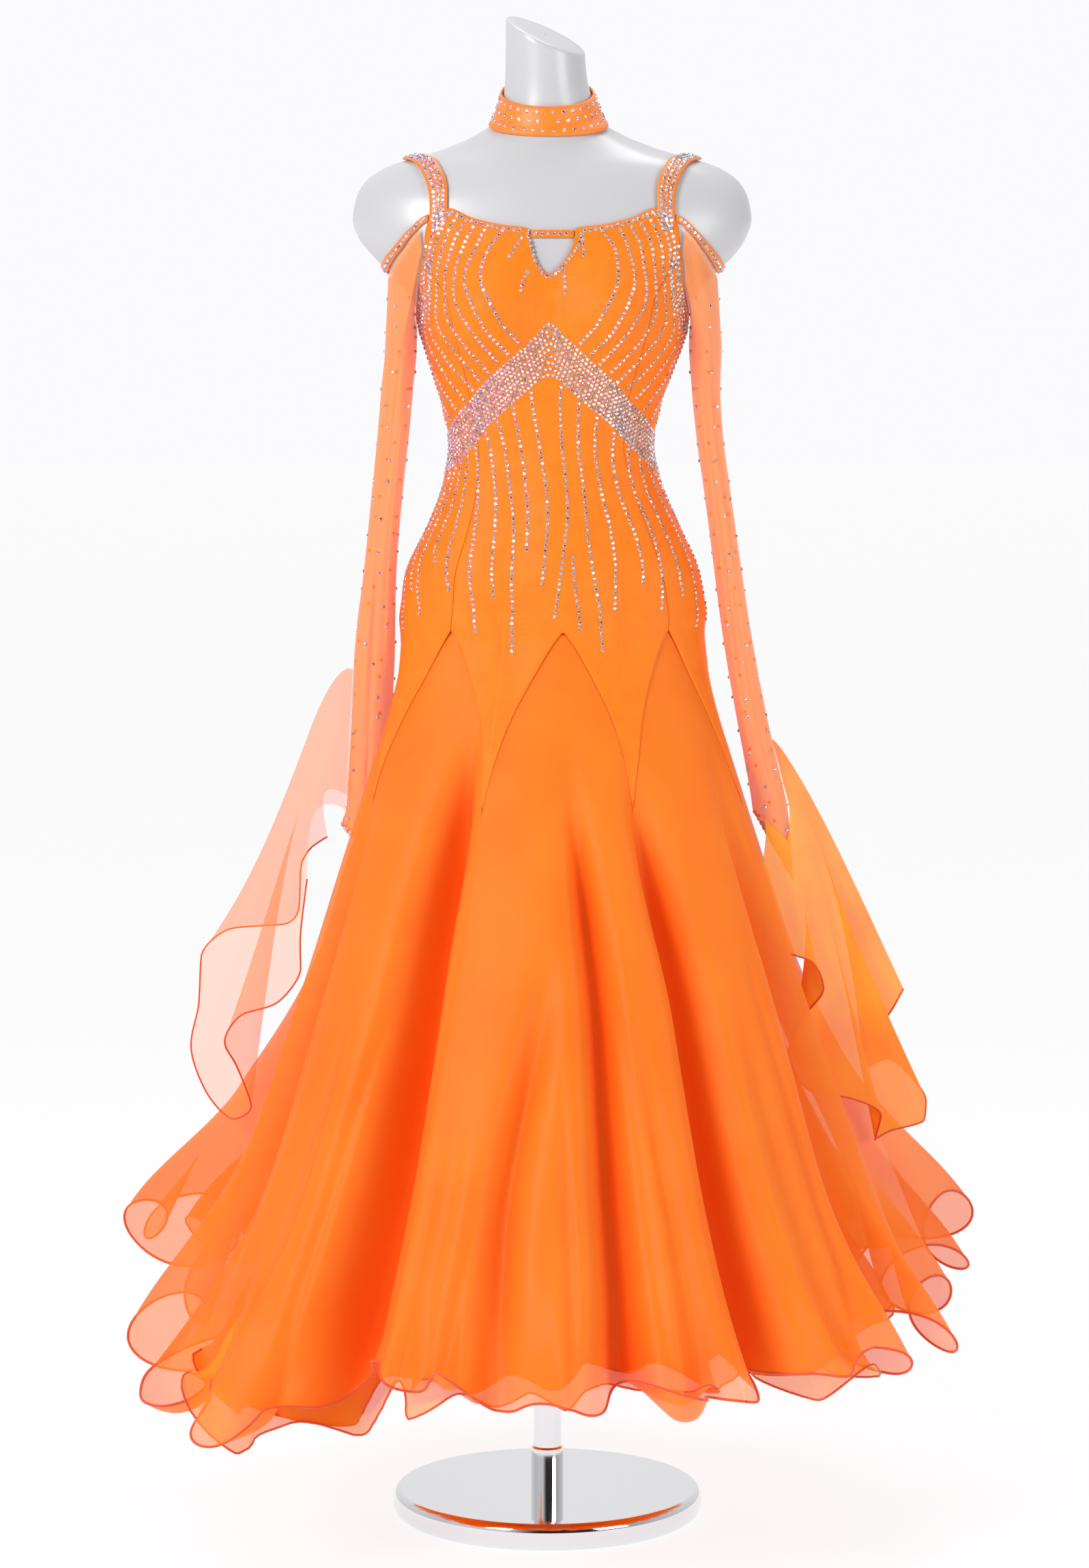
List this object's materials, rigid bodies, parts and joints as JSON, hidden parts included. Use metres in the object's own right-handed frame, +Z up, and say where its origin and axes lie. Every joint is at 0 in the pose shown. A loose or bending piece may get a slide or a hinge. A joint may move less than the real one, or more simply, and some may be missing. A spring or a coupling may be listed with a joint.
{
  "type": "ballroom dance dress on a dress form",
  "caption": "Floor-length ballroom dance dress with stoned bodice, sheer sleeves, wrist floats and a flared organza godet skirt, on a limbless dress form with pole and round base.",
  "frame": {"origin": "middle of the underside of the round base", "axes": "+Z up along the pole, -Y the front of the dress, +X the viewer's right when facing the front"},
  "size_m": [0.8936, 0.8662, 1.5845],
  "materials": {
    "crepe": "matt stretch crepe",
    "organza": "crisp sheer organza",
    "mesh": "sheer stretch mesh",
    "stoned": "crepe covered with small clear stones",
    "form": "glossy pale grey",
    "chrome": "polished"
  },
  "bodies": {
    "root": {"base_disc": "chrome", "pole": "chrome", "dress_form": "form", "choker": "stoned", "bodice_front": "crepe", "bodice_side_right": "crepe", "bodice_side_left": "crepe", "bodice_back": "crepe", "keyhole_bridge": "crepe", "strap_left": "stoned", "strap_right": "stoned", "shoulder_band_left": "stoned", "shoulder_band_right": "stoned", "sleeve_left": "mesh", "sleeve_right": "mesh", "float_left": "organza", "float_right": "organza", "underskirt": "organza", "godet_front": "organza", "godet_front_right": "organza", "godet_right": "organza", "godet_back_right": "organza", "godet_back": "organza", "godet_back_left": "organza", "godet_left": "organza", "godet_front_left": "organza"}
  },
  "joints": []
}
